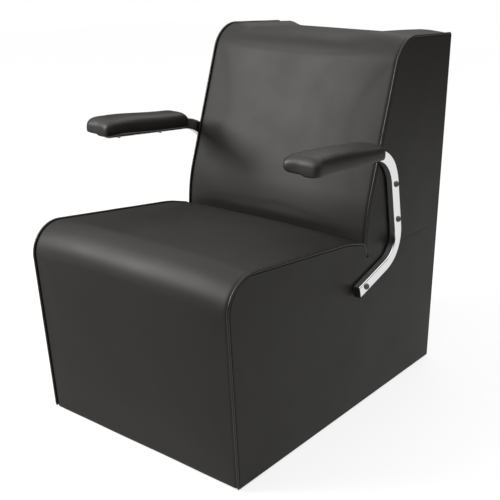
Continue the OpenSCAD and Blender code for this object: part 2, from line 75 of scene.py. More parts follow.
@dataclass(frozen=True)
class ChairSizes:
    """The chair's sizes in millimetres and degrees, as the solids have them."""

    depth: float = 915.0
    front_width: float = 628.0
    toe_in: float = 1.55
    front_rake: float = 5.3
    base_z: float = 6.0
    seat_corner_h: float = 519.0
    seat_corner_r: float = 75.0
    seat_fall: float = 5.1
    seat_roll_y: float = 430.0
    seat_roll_r: float = 300.0
    seat_depth: float = 514.0
    seat_rear_h: float = 456.0
    seat_rear_r: float = 36.0
    notch_y: float = 525.0
    notch_gap: float = 2.0
    seam_h: float = 419.0
    seat_crown: float = 14.0
    front_crown: float = 5.0
    back_y: float = 512.0
    back_roll_h: float = 446.0
    back_roll_r: float = 50.0
    kink_h: float = 528.0
    kink_r: float = 380.0
    kink_step: float = 3.0
    recline: float = 16.5
    rear_top_h: float = 947.0
    top_fall: float = 1.8
    top_corner_r: float = 88.0
    back_crown: float = 12.0
    top_ear: float = 5.0
    top_dip: float = 8.0
    welt_r: float = 3.0
    cover_inset: float = 5.0
    dryer_xs: Spot = (-90.0, 90.0)
    dryer_zs: Spot = (730.0, 850.0)
    dryer_hole_r: float = 4.25

    @property
    def half(self) -> float:
        """Half the width at the front."""
        return self.front_width / 2

    @property
    def seat_corner_y(self) -> float:
        """Depth of the sharp corner of the front and the seat."""
        return -(self.seat_corner_h - self.base_z) * math.tan(math.radians(self.front_rake))

    @property
    def kink_y(self) -> float:
        """Depth at which the back starts to recline."""
        return self.back_y + self.kink_step

    @property
    def top_corner(self) -> Spot:
        """Depth and height of the sharp corner of the back's front and its top.

        Returns:
            The depth and the height in millimetres.
        """
        lean, fall = math.tan(math.radians(self.recline)), math.tan(math.radians(self.top_fall))
        y = (self.rear_top_h - self.kink_h + self.depth * fall + self.kink_y / lean) / (1 / lean + fall)
        return y, self.rear_top_h + (self.depth - y) * fall

    @property
    def mid_y(self) -> float:
        """Depth of the model's origin."""
        reach = Route(self.seat_edge()).centre(1)[0] - self.seat_corner_r - self.front_crown
        return (self.depth + reach) / 2

    def seat_edge(self) -> list[Corner]:
        """The base's edge, from the floor over the front and the seat to the seam.

        Returns:
            Its corners.
        """
        fall = math.tan(math.radians(self.seat_fall))
        roll_h = self.seat_corner_h - (self.seat_roll_y - self.seat_corner_y) * fall
        return [
            (0.0, self.base_z, 0.0),
            (self.seat_corner_y, self.seat_corner_h, self.seat_corner_r),
            (self.seat_roll_y, roll_h, self.seat_roll_r),
            (self.seat_depth, self.seat_rear_h, self.seat_rear_r),
            (self.notch_y - self.notch_gap, self.seam_h, 0.0),
        ]

    def back_edge(self) -> list[Corner]:
        """The back's edge, from the seam up the front and over the top to the rear.

        Returns:
            Its corners.
        """
        return [
            (self.notch_y, self.seam_h, 0.0),
            (self.back_y, self.back_roll_h, self.back_roll_r),
            (self.kink_y, self.kink_h, self.kink_r),
            (*self.top_corner, self.top_corner_r),
            (self.depth, self.rear_top_h, 0.0),
        ]

    def half_at(self, y: float, layer: float) -> float:
        """Half the width between the sides at depth y, inside a layer of that thickness."""
        toe = math.radians(self.toe_in)
        return self.half - layer / math.cos(toe) - y * math.tan(toe)


class EdgePoint(NamedTuple):
    """A point of a route, with its outward normal and the length so far, in millimetres."""

    y: float
    z: float
    ny: float
    nz: float
    s: float


class Route:
    """A line of straight runs and round bends in the plane of depth and height."""

    def __init__(self, corners: Sequence[Corner]) -> None:
        """Keeps the depth, height and bend radius of each corner, in millimetres."""
        self.spots = [np.array(c[:2], dtype=float) for c in corners]
        self.radii = [c[2] for c in corners]

    def heading(self, i: int) -> np.ndarray:
        """Unit direction of the run after corner i."""
        step = self.spots[i + 1] - self.spots[i]
        return step / np.linalg.norm(step)

    def turn(self, i: int) -> float:
        """Signed angle of the bend at corner i, in radians."""
        a, b = self.heading(i - 1), self.heading(i)
        return math.atan2(a[0] * b[1] - a[1] * b[0], float(a @ b))

    def centre(self, i: int) -> np.ndarray:
        """Centre of the bend at corner i."""
        inward = self.heading(i) - self.heading(i - 1)
        return self.spots[i] + inward / np.linalg.norm(inward) * self.radii[i] / math.cos(self.turn(i) / 2)

    def taken(self, i: int) -> float:
        """Length that the bend at corner i takes off each run, which is none at the route's ends."""
        inner = 0 < i < len(self.spots) - 1
        return self.radii[i] * math.tan(abs(self.turn(i)) / 2) if inner else 0.0

    def round_bend(self, i: int, gap: float) -> list[tuple[float, ...]]:
        """Points round the bend at corner i.

        Args:
            i: The corner.
            gap: Longest step.

        Returns:
            Depth, height and outward normal of each point.
        """
        turn, h, radius, centre = self.turn(i), self.heading(i - 1), self.radii[i], self.centre(i)
        sign = 1.0 if turn < 0 else -1.0
        count = max(4, math.ceil(abs(turn) * radius / gap))
        made = []
        for k in range(count + 1):
            c, d = math.cos(turn * k / count), math.sin(turn * k / count)
            n = np.array([-h[1] * c - h[0] * d, -h[1] * d + h[0] * c])
            made.append((*(centre + n * sign * radius), *n))
        return made

    def straight_run(self, i: int, gap: float) -> list[tuple[float, ...]]:
        """Points on the run after corner i, between its two bends.

        Args:
            i: The corner.
            gap: Longest step.

        Returns:
            Depth, height and outward normal of each point.
        """
        h = self.heading(i)
        start, end = self.spots[i] + h * self.taken(i), self.spots[i + 1] - h * self.taken(i + 1)
        count = math.ceil(np.linalg.norm(end - start) / gap)
        return [(*(start + (end - start) * k / count), -h[1], h[0]) for k in range(1, count)]

    def samples(self, gap: float, bend_gap: float) -> list[EdgePoint]:
        """Points along the route.

        Args:
            gap: Longest step on the straight runs.
            bend_gap: Longest step round the bends.

        Returns:
            The points, from the first corner to the last.
        """
        rows: list[tuple[float, ...]] = []
        last = len(self.spots) - 1
        for i, spot in enumerate(self.spots):
            if i in (0, last):
                h = self.heading(min(i, last - 1))
                rows.append((*spot, -h[1], h[0]))
            else:
                rows += self.round_bend(i, bend_gap)
            if i < last:
                rows += self.straight_run(i, gap)
        steps = np.linalg.norm(np.diff(np.array(rows)[:, :2], axis=0), axis=1)
        return [EdgePoint(*row, s) for row, s in zip(rows, [0.0, *np.cumsum(steps)])]


SIZES = ChairSizes()
MID_Y = SIZES.mid_y


def ease(a: float, b: float, v: float) -> float:
    """Smooth step from 0 at a to 1 at b."""
    q = min(1.0, max(0.0, (v - a) / (b - a)))
    return q * q * (3 - 2 * q)


def ripple(y: float, z: float, seed: float) -> float:
    """Smooth noise from -1 to 1 over a plane, the same on each run."""
    return noise.noise(Vector((y, z, seed)))


def on_side(side: Side, out: float, y: float, z: float) -> Point:
    """A point in a side's own plane, in the row frame.

    Args:
        side: Which side.
        out: Distance outside the side cover's face, in millimetres.
        y: Distance along the side, in millimetres.
        z: Height in millimetres.

    Returns:
        The point in metres.
    """
    toe = math.radians(SIZES.toe_in)
    x = SIZES.half + out * math.cos(toe) - y * math.sin(toe)
    return side.value * x * MM, (out * math.sin(toe) + y * math.cos(toe) - MID_Y) * MM, z * MM


# Meshes


def add_object(name: str, data: bpy.types.ID) -> bpy.types.Object:
    """Makes an object for a mesh, a light or a camera, linked to the scene.

    Args:
        name: Its name.
        data: What it shows.

    Returns:
        The object.
    """
    made = bpy.data.objects.new(name, data)
    bpy.context.scene.collection.objects.link(made)
    return made


def settle_faces(piece: bpy.types.Object) -> bpy.types.Object:
    """Turns the faces outwards and shades them smooth.

    Args:
        piece: A closed or open mesh object.

    Returns:
        The same object.
    """
    work = bmesh.new()
    work.from_mesh(piece.data)
    bmesh.ops.recalc_face_normals(work, faces=work.faces)
    work.to_mesh(piece.data)
    work.free()
    for polygon in piece.data.polygons:
        polygon.use_smooth = True
    return piece


def new_piece(name: str, points: Iterable[Point], faces: Iterable[Sequence[int]]) -> bpy.types.Object:
    """Makes a smooth-shaded mesh object.

    Args:
        name: The piece's name.
        points: Its vertices in metres.
        faces: Its faces as rows of vertex numbers.

    Returns:
        The object, linked to the scene.
    """
    mesh = bpy.data.meshes.new(name)
    mesh.from_pydata([tuple(map(float, p)) for p in points], [], [tuple(f) for f in faces])
    mesh.update()
    return settle_faces(add_object(name, mesh))


def grid_faces(rows: int, columns: int, wrap: bool = False) -> list[tuple[int, ...]]:
    """Quads over a grid of points that is stored row by row.

    Args:
        rows: Number of rows.
        columns: Points in each row.
        wrap: Whether each row closes on itself.

    Returns:
        The quads.
    """
    made = []
    for low in range(0, (rows - 1) * columns, columns):
        for j in range(columns if wrap else columns - 1):
            after = (j + 1) % columns
            made.append((low + j, low + columns + j, low + columns + after, low + after))
    return made


def freeze(piece: bpy.types.Object) -> None:
    """Keeps what the piece's modifiers make, and takes the modifiers off.

    Args:
        piece: A mesh object.
    """
    seen = piece.evaluated_get(bpy.context.evaluated_depsgraph_get())
    kept, old = bpy.data.meshes.new_from_object(seen), piece.data
    piece.modifiers.clear()
    piece.data = kept
    bpy.data.meshes.remove(old)
    kept.name = piece.name


def cut(piece: bpy.types.Object, cutter: bpy.types.Object) -> None:
    """Takes a solid out of a piece, and removes the solid.

    Args:
        piece: A closed mesh object.
        cutter: The solid to take out.
    """
    made = piece.modifiers.new("cut", "BOOLEAN")
    made.object, made.operation, made.solver = cutter, "DIFFERENCE", "EXACT"
    freeze(piece)
    bpy.data.objects.remove(cutter)


@dataclass(frozen=True)
class ClothRun:
    """How a sewn cover swells over its foam in the cloth simulation."""

    pressure: float
    cap_mm: float
    quality: int = 6
    mass: float = 0.4
    stretch: float = 18.0
    bend: float = 12.0
    frames: int = 20

    def swell(self, piece: bpy.types.Object, sewn: Sequence[int]) -> None:
        """Lets the piece swell, and keeps the result; no point moves further than the cap.

        Args:
            piece: The cover's mesh object.
            sewn: Vertices that are sewn down and stay.
        """
        scene = bpy.context.scene
        piece.vertex_groups.new(name="sewn").add(list(sewn), 1.0, "REPLACE")
        cloth = piece.modifiers.new("swell", "CLOTH")
        feel = cloth.settings
        feel.quality, feel.mass, feel.bending_stiffness = self.quality, self.mass, self.bend
        feel.tension_stiffness = feel.compression_stiffness = self.stretch
        feel.use_pressure, feel.uniform_pressure_force = True, self.pressure
        feel.effector_weights.gravity = 0.0
        feel.vertex_group_mass = "sewn"
        cloth.point_cache.frame_start, cloth.point_cache.frame_end = 1, self.frames
        for step in range(1, self.frames + 1):
            scene.frame_set(step)
        seen = piece.evaluated_get(bpy.context.evaluated_depsgraph_get())
        moved = np.array([v.co[:] for v in seen.data.vertices])
        rest = np.array([v.co[:] for v in piece.data.vertices])
        length = np.linalg.norm(moved - rest, axis=1, keepdims=True)
        rest += (moved - rest) * np.minimum(1.0, self.cap_mm * MM / np.maximum(length, 1e-9))
        piece.modifiers.remove(cloth)
        scene.frame_set(1)
        piece.data.vertices.foreach_set("co", rest.ravel())
        piece.data.update()


# Finishes


class NodeBoard:
    """Adds and joins nodes in one node tree."""

    def __init__(self, tree: bpy.types.NodeTree) -> None:
        """Keeps a material's tree, the surround's tree or a group's tree."""
        self.tree = tree

    def fill(self, node: bpy.types.Node, inputs: Inputs) -> bpy.types.Node:
        """Sets a node's inputs.

        Args:
            node: The node.
            inputs: Value of each input, or the socket that feeds it.

        Returns:
            The same node.
        """
        for key, value in inputs.items():
            if isinstance(value, bpy.types.NodeSocket):
                self.tree.links.new(value, node.inputs[key])
            else:
                node.inputs[key].default_value = value
        return node

    def add(self, kind: str, inputs: Inputs | None = None, **settings: object) -> bpy.types.Node:
        """Adds a node.

        Args:
            kind: Blender's name of the node type.
            inputs: Value of each input, or the socket that feeds it.
            **settings: Properties of the node.

        Returns:
            The node.
        """
        node = self.tree.nodes.new(kind)
        for key, value in settings.items():
            setattr(node, key, value)
        return self.fill(node, inputs or {})

    def math(self, operation: str, first: object, second: object, third: object = 0.0) -> bpy.types.NodeSocket:
        """Adds a Math node and gives its output."""
        return self.add("ShaderNodeMath", {0: first, 1: second, 2: third}, operation=operation).outputs[0]

    def noise(self, vector: object, scale: object, detail: object, roughness: float = 0.5) -> bpy.types.Node:
        """Adds a noise texture."""
        inputs = {"Vector": vector, "Scale": scale, "Detail": detail, "Roughness": roughness}
        return self.add("ShaderNodeTexNoise", inputs)

    def spread(self, value: bpy.types.NodeSocket, low: float, high: float) -> bpy.types.NodeSocket:
        """Stretches a value so that low becomes 0 and high becomes 1."""
        return self.add("ShaderNodeMapRange", {"Value": value, "From Min": low, "From Max": high}).outputs[0]

    def fade(self, value: bpy.types.NodeSocket, low: float, high: float, to: Spot) -> bpy.types.NodeSocket:
        """Fades smoothly from the first number of a pair at low to the second at high."""
        inputs = {"Value": value, "From Min": low, "From Max": high, "To Min": to[0], "To Max": to[1]}
        return self.add("ShaderNodeMapRange", inputs, interpolation_type="SMOOTHSTEP").outputs[0]

    def place(self) -> bpy.types.NodeSocket:
        """Adds the object's own coordinates and gives their output."""
        return self.add("ShaderNodeTexCoord").outputs["Object"]

    def effect(self, effect: "Effect", values: dict[str, float]) -> bpy.types.bpy_prop_collection:
        """Adds a shared effect with its values, on the object's own coordinates, and gives its outputs."""
        return self.add("ShaderNodeGroup", {"Vector": self.place(), **values}, node_tree=effect.tree()).outputs


def vinyl_grain(board: NodeBoard, given: bpy.types.bpy_prop_collection) -> Inputs:
    """Fine pebbled skin of upholstery vinyl.

    Args:
        board: The group's board.
        given: The group's inputs.

    Returns:
        What the group puts out.
    """
    bent, shift = board.noise(given["Vector"], 160.0, 2.0).outputs["Color"], (0.0011, 0.0011, 0.0011)
    moved = board.add(
        "ShaderNodeVectorMath", {0: bent, 1: shift, 2: given["Vector"]}, operation="MULTIPLY_ADD"
    ).outputs[0]
    cells = board.add(
        "ShaderNodeTexVoronoi",
        {"Vector": moved, "Scale": given["Scale"], "Smoothness": given["Softness"]},
        feature="SMOOTH_F1",
    ).outputs["Distance"]
    fine = board.noise(given["Vector"], given["Scale"], 3.0, 0.6).outputs[0]
    height = board.math("MULTIPLY_ADD", fine, 0.35, board.math("MULTIPLY", cells, -0.9))
    return {"Height": height, "Sheen": board.math("MULTIPLY_ADD", cells, 0.6, 0.2)}


def slow_waves(board: NodeBoard, given: bpy.types.bpy_prop_collection) -> Inputs:
    """Broad soft unevenness of padding under a cover, or of a rolled surface."""
    low = board.noise(given["Vector"], given["Scale"], given["Detail"], 0.45).outputs[0]
    return {"Height": low, "Mask": board.spread(low, 0.3, 0.7)}


def rub_marks(board: NodeBoard, given: bpy.types.bpy_prop_collection) -> Inputs:
    """Thin hair marks and smudges that change the gloss.

    Args:
        board: The group's board.
        given: The group's inputs.

    Returns:
        What the group puts out.
    """
    thin = board.add("ShaderNodeCombineXYZ", {0: given["Stretch"], 1: 1.0, 2: 1.0}).outputs[0]
    stretched = board.add(
        "ShaderNodeVectorMath", {0: given["Vector"], 1: thin}, operation="MULTIPLY"
    ).outputs[0]
    lines = board.noise(stretched, given["Scale"], 5.0, 0.7).outputs[0]
    smear = board.noise(given["Vector"], 14.0, 3.0).outputs[0]
    return {"Marks": board.spread(lines, 0.45, 0.75), "Smudge": board.spread(smear, 0.35, 0.8)}


class Effect(Enum):
    """The node groups that several materials share: what makes each, and the defaults of its number inputs."""

    VINYL_GRAIN = (vinyl_grain, {"Scale": 800.0, "Softness": 0.6})
    SLOW_WAVES = (slow_waves, {"Scale": 9.0, "Detail": 2.0})
    RUB_MARKS = (rub_marks, {"Scale": 60.0, "Stretch": 12.0})

    def tree(self) -> bpy.types.NodeTree:
        """Gets the group, and makes it the first time.

        Returns:
            The group's tree.
        """
        name = self.name.lower()
        if name in bpy.data.node_groups:
            return bpy.data.node_groups[name]
        maker, defaults = self.value
        tree = bpy.data.node_groups.new(name, "ShaderNodeTree")
        tree.interface.new_socket("Vector", in_out="INPUT", socket_type="NodeSocketVector")
        for key, value in defaults.items():
            tree.interface.new_socket(key, in_out="INPUT", socket_type="NodeSocketFloat").default_value = value
        board = NodeBoard(tree)
        results = maker(board, board.add("NodeGroupInput").outputs)
        for key in results:
            tree.interface.new_socket(key, in_out="OUTPUT", socket_type="NodeSocketFloat")
        board.add("NodeGroupOutput", results)
        return tree


@dataclass(frozen=True)
class Layer:
    """A shared effect in a finish, with its values and what its named outputs do there.

    The tint goes with two brightnesses, the roughening with an amount, and the relief with a depth in metres.
    """

    effect: Effect
    values: dict[str, float]
    tint: tuple[str, float, float] | None = None
    rough: tuple[tuple[str, float], ...] = ()
    relief: tuple[str, float] | None = None


@dataclass(frozen=True)
class Finish:
    """A finish of layers over a base. Its name may not be one of the record's material slots."""

    name: str
    colour: Point
    roughness: float
    layers: tuple[Layer, ...] = ()
    metallic: float = 0.0
    gloss: float = 0.5

    def material(self) -> bpy.types.Material:
        """Makes the material, or gives it if it is already made.

        Returns:
            The material.
        """
        if self.name in bpy.data.materials:
            return bpy.data.materials[self.name]
        made = bpy.data.materials.new(self.name)
        made.use_nodes = True
        made.diffuse_color = (*self.colour, 1.0)
        board, shader = NodeBoard(made.node_tree), made.node_tree.nodes["Principled BSDF"]
        look: Inputs = {"Base Color": (*self.colour, 1.0), "Roughness": self.roughness}
        for layer in self.layers:
            outputs = board.effect(layer.effect, layer.values)
            if layer.tint:
                look["Base Color"] = self.tinted(board, outputs[layer.tint[0]], *layer.tint[1:])
            for key, amount in layer.rough:
                look["Roughness"] = board.math("MULTIPLY_ADD", outputs[key], amount, look["Roughness"])
            if layer.relief:
                self.bump(board, look, outputs[layer.relief[0]], layer.relief[1])
        self.dress(board, look)
        board.fill(shader, {"Metallic": self.metallic, "Specular IOR Level": self.gloss, **look})
        return made

    def tinted(self, board: NodeBoard, mask: object, low: float, high: float) -> bpy.types.NodeSocket:
        """Lets the colour run from darker to lighter by a mask.

        Args:
            board: The material's board.
            mask: A mask from 0 to 1.
            low: Brightness where the mask is 0, as a share of the colour.
            high: Brightness where the mask is 1.

        Returns:
            The colour's socket.
        """
        dark, light = ((*(min(1.0, c * share) for c in self.colour), 1.0) for share in (low, high))
        return board.add("ShaderNodeMix", {0: mask, 6: dark, 7: light}, data_type="RGBA").outputs[2]

    def bump(self, board: NodeBoard, look: Inputs, height: object, depth: float) -> None:
        """Adds a relief on the relief that the look already has.

        Args:
            board: The material's board.
            look: The shader's inputs so far.
            height: The height, from 0 to 1.
            depth: Its real depth in metres.
        """
        under = {"Normal": look["Normal"]} if "Normal" in look else {}
        inputs = {"Height": height, "Distance": depth, "Strength": 1.0, **under}
        look["Normal"] = board.add("ShaderNodeBump", inputs).outputs[0]

    def dress(self, board: NodeBoard, look: Inputs) -> None:
        """Adds what only this kind of finish has."""


@dataclass(frozen=True)
class PlywoodFinish(Finish):
    """Plain birch plywood with long grain."""

    def dress(self, board: NodeBoard, look: Inputs) -> None:
        """Adds long grain in colour, gloss and relief.

        Args:
            board: The material's board.
            look: The shader's inputs so far.
        """
        lines = board.effect(Effect.RUB_MARKS, {"Scale": 22.0, "Stretch": 0.08})["Marks"]
        bands = board.add(
            "ShaderNodeTexWave",
            {"Vector": board.place(), "Scale": 14.0, "Distortion": 9.0, "Detail": 3.0, "Detail Scale": 1.4},
            bands_direction="Y",
        ).outputs[1]
        mixed = board.math("MULTIPLY_ADD", bands, 0.5, board.math("MULTIPLY", lines, 0.5))
        look["Base Color"] = self.tinted(board, mixed, 0.72, 1.15)
        look["Roughness"] = board.math("MULTIPLY_ADD", mixed, 0.15, self.roughness)
        self.bump(board, look, mixed, 0.0002)


def vinyl(name: str, colour: Point, roughness: float, gloss: float, wave_depth: float) -> Finish:
    """A charcoal upholstery vinyl: slow waves of the padding, a pebbled grain and faint rubbing.

    Args:
        name: The finish's name.
        colour: Its colour.
        roughness: Its roughness before the grain adds to it.
        gloss: Strength of its mirror reflection.
        wave_depth: Depth of the slow waves in metres.

    Returns:
        The finish.
    """
    layers = (
        Layer(Effect.SLOW_WAVES, {"Scale": 7.0}, tint=("Mask", 0.93, 1.07), relief=("Height", wave_depth)),
        Layer(Effect.VINYL_GRAIN, {"Scale": 820.0}, rough=(("Sheen", 0.10),), relief=("Height", 0.00010)),
        Layer(Effect.RUB_MARKS, {"Scale": 34.0, "Stretch": 3.0}, rough=(("Smudge", 0.05),)),
    )
    return Finish(name, colour, roughness, layers, gloss=gloss)


def chrome(name: str, colour: Point, roughness: float, marks: float) -> Finish:
    """A plate on steel, with polishing marks and smudges; it is bright unless its colour is darkened.

    Args:
        name: The finish's name.
        colour: Its colour.
        roughness: Its roughness.
        marks: How much rougher the smudges are.

    Returns:
        The finish.
    """
    rough = (("Smudge", marks), ("Marks", marks * 0.6))
    rubs = Layer(Effect.RUB_MARKS, {"Scale": 90.0, "Stretch": 9.0}, rough=rough, relief=("Marks", 0.000004))
    return Finish(name, colour, roughness, (rubs,), metallic=1.0)


MOULDED_LAYERS = (
    Layer(Effect.VINYL_GRAIN, {"Scale": 1500.0, "Softness": 0.9}, relief=("Height", 0.00004)),
    Layer(Effect.RUB_MARKS, {"Scale": 120.0, "Stretch": 5.0}, ("Marks", 0.9, 1.5), (("Smudge", 0.12),)),
)
ZINC_LAYERS = (
    Layer(Effect.SLOW_WAVES, {"Scale": 120.0, "Detail": 4.0}, ("Mask", 0.85, 1.1), (("Mask", 0.15),)),
    Layer(Effect.RUB_MARKS, {"Scale": 150.0, "Stretch": 6.0}, relief=("Marks", 0.00001)),
)
FOAM_LAYERS = (
    Layer(Effect.VINYL_GRAIN, {"Scale": 520.0, "Softness": 0.2}, relief=("Height", 0.0006)),
    Layer(Effect.SLOW_WAVES, {"Scale": 11.0}, tint=("Mask", 0.9, 1.05)),
)
CLOTH_LAYERS = (
    Layer(Effect.VINYL_GRAIN, {"Scale": 430.0, "Softness": 0.1}, relief=("Height", 0.0003)),
    Layer(Effect.RUB_MARKS, {"Scale": 300.0, "Stretch": 2.0}, tint=("Marks", 0.8, 1.6)),
)
BLACK = (0.012, 0.012, 0.012)
FINISHES: dict[str, Finish] = {
    "plywood": PlywoodFinish("birch_plywood", (0.60, 0.44, 0.27), 0.62),
    "black_plastic": Finish("moulded_plastic", BLACK, 0.42, MOULDED_LAYERS),
    "chrome": chrome("tube_chrome", (0.93, 0.93, 0.94), 0.04, 0.05),
    # The bolts' plate is darkened far below chrome: painted shade and dark reflections on the button heads.
    "bolt_chrome": chrome("bolt_plate", (0.15, 0.15, 0.16), 0.55, 0.08),
    "zinc_steel": Finish("zinc_plate", (0.58, 0.59, 0.60), 0.34, ZINC_LAYERS, metallic=1.0),
    "vinyl": vinyl("cover_vinyl", (0.0190, 0.0176, 0.0152), 0.44, 0.25, 0.0008),
    "vinyl_piping": vinyl("piping_vinyl", (0.0180, 0.0167, 0.0146), 0.27, 0.42, 0.0002),
    "arm_pad_vinyl": vinyl("pad_vinyl", (0.0180, 0.0166, 0.0144), 0.40, 0.36, 0.0006),
    "foam": Finish("seat_foam", (0.80, 0.72, 0.52), 0.95, FOAM_LAYERS),
    "dust_cloth": Finish("dust_fabric", BLACK, 0.9, CLOTH_LAYERS),
}


def finish_piece(piece: bpy.types.Object, slot: str, *nodes: str, pad: float | None = None) -> None:
    """Gives a new piece the finish of its slot, and its place in the frame.

    Args:
        piece: The piece.
        slot: The record's material slot.
        *nodes: Solids that it stands for.
        pad: How full it is, for a padded piece; not used.
    """
    piece.data.materials.clear()
    piece.data.materials.append(FINISHES[slot].material())
    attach(piece, "root")
    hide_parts(*nodes)
    LOG.info("%s: %d faces, stands for %s", piece.name, len(piece.data.polygons), ", ".join(nodes))


# The upholstered box


def bulge(t: float) -> float:
    """Crown of a sewn cushion across its width, from 0 at the edges to 1 in the middle."""
    return 1 - abs(t) ** 3


@dataclass
class SeatCrown:
    """The seat's crown over its piped edge; it falls towards the back in two steps."""

    foot_fade: float = 120.0
    seam_fade: float = 30.0
    falls: tuple[Point, ...] = ((0.3, 300.0, 480.0), (0.35, 474.0, 506.0))

    def rise(self, at: EdgePoint, t: float) -> float:
        """Height of the crown over the edge.

        Args:
            at: The point on the edge.
            t: Place across, from -1 to 1.

        Returns:
            The rise in millimetres.
        """
        s = SIZES
        crest = 1 - sum(share * ease(start, end, at.y) for share, start, end in self.falls)
        top = s.seat_crown * max(0.0, at.nz) * crest * ease(s.seam_h, s.seam_h + self.seam_fade, at.z)
        front = s.front_crown * max(0.0, -at.ny)
        return bulge(t) * ease(s.base_z, s.base_z + self.foot_fade, at.z) * (front + top)


@dataclass
class BackCrown:
    """The back's crown over its piped edge, with a dip between the two ends of the top."""

    face_fade: Spot = (25.0, 75.0)
    left_end: Spot = (0.35, 0.7)
    right_end: Spot = (0.72, 0.88)
    ear_fade: Spot = (0.75, 1.0)
    top_fade: Spot = (0.6, 1.0)

    def rise(self, at: EdgePoint, t: float) -> float:
        """Height of the crown over the edge.

        Args:
            at: The point on the edge.
            t: Place across, from -1 to 1.

        Returns:
            The rise in millimetres.
        """
        s = SIZES
        end = ease(*self.left_end, t) if t > 0 else ease(*self.right_end, -t)
        ear = end * s.top_ear * (1 - ease(*self.ear_fade, abs(t)))
        face = bulge(t) * s.back_crown * max(0.0, -at.ny) * ease(*self.face_fade, at.z - s.seam_h)
        return face + ease(*self.top_fade, at.nz) * (ear - (1 - end) * s.top_dip)


@dataclass
class CrownedCover:
    """A sewn cover over foam that runs the width of the chair between two piped edges."""

    name: str
    edge: Sequence[Corner]
    crown: SeatCrown | BackCrown
    node: str
    seed: float
    fullness: float = 0.85
    gap: float = 8.0
    bend_gap: float = 5.0
    edge_lanes: tuple[float, ...] = (0.0, 1.0, 2.4, 4.4, 7.2, 11.0, 16.0, 22.0, 30.0, 40.0)
    middle_lanes: int = 40
    tuck: float = 4.2
    tuck_width: float = 8.5
    pucker: float = 0.35
    pucker_length: float = 5.6
    pucker_reach: Spot = (5.0, 13.0)
    uneven: float = 0.9
    uneven_length: Spot = (150.0, 170.0)
    uneven_reach: float = 40.0
    sewn_width: float = 3.0
    thickness: float = 9.0
    cloth: ClothRun = ClothRun(pressure=0.5, cap_mm=0.6)

    def lanes(self) -> list[float]:
        """Places across the cover, closer together at the piped edges.

        Returns:
            The places, from 1 to -1.
        """
        ref, count = SIZES.half_at(0.0, SIZES.cover_inset), self.middle_lanes
        near = [1 - d / ref for d in self.edge_lanes]
        middle = [near[-1] * (1 - 2 * k / count) for k in range(1, count)]
        return near + middle + [-t for t in reversed(near)]

    def skin(self, at: EdgePoint, t: float, d: float) -> float:
        """Height of the cover's outer face over its edge: crown, tuck, puckers and unevenness.

        Args:
            at: The point on the edge.
            t: Place across, from -1 to 1.
            d: Distance from the nearer side in millimetres.

        Returns:
            The height in millimetres.
        """
        dip = -self.tuck * (1 - min(d, self.tuck_width) / self.tuck_width) ** 2
        start, reach = self.pucker_reach
        pull = self.pucker * math.exp(-d / reach) * min(1.0, d / start)
        stray = 2.4 * ripple(at.s / 60, t, self.seed)
        wave = math.sin(at.s / self.pucker_length + stray) * ripple(at.s / 45, t * 2, self.seed + 7)
        along, across = self.uneven_length
        broad = ripple(at.s / along, t * SIZES.half / across, self.seed + 3) * min(1.0, d / self.uneven_reach)
        return self.crown.rise(at, t) + dip + pull * wave + self.uneven * broad

    def make(self) -> None:
        """Builds the cover, lets it swell and dresses it."""
        rows, lanes = Route(self.edge).samples(self.gap, self.bend_gap), self.lanes()
        points, sewn = [], []
        for at in rows:
            for t in lanes:
                d = (1 - abs(t)) * SIZES.half
                if d < self.sewn_width or at in (rows[0], rows[-1]):
                    sewn.append(len(points))
                r = self.skin(at, t, d)
                y, z = at.y + at.ny * r, at.z + at.nz * r
                points.append((t * SIZES.half_at(y, SIZES.cover_inset) * MM, (y - MID_Y) * MM, z * MM))
        piece = new_piece(self.name, points, grid_faces(len(rows), len(lanes)))
        if piece.data.polygons[len(piece.data.polygons) // 2].normal.dot(Vector((0.0, -0.6, 0.8))) < 0:
            piece.data.flip_normals()
        self.cloth.swell(piece, sewn)
        shell = piece.modifiers.new("padding", "SOLIDIFY")
        shell.thickness, shell.offset = self.thickness * MM, -1.0
        freeze(piece)
        finish_piece(piece, "vinyl", self.node, pad=self.fullness)


def shifted(outline: Sequence[Spot], moves: Sequence[float]) -> list[Spot]:
    """Moves each edge of a closed outline inwards by its own distance.

    Args:
        outline: Points in order, anticlockwise.
        moves: Distance for the edge that follows each point.

    Returns:
        The points of the new outline.
    """
    nearly_straight = 0.04
    spots = [np.array(p, dtype=float) for p in outline]
    inward = []
    for spot, after in zip(spots, [*spots[1:], spots[0]]):
        step = after - spot
        inward.append(np.array([-step[1], step[0]]) / np.linalg.norm(step))
    made = []
    for i, spot in enumerate(spots):
        a, b, da, db = inward[i - 1], inward[i], moves[i - 1], moves[i]
        cross = a[0] * b[1] - a[1] * b[0]
        if abs(cross) < nearly_straight:
            move = (a * da + b * db) / 2
        else:
            move = np.array([da * b[1] - db * a[1], db * a[0] - da * b[0]]) / cross
        made.append(tuple(spot + move))
    return made


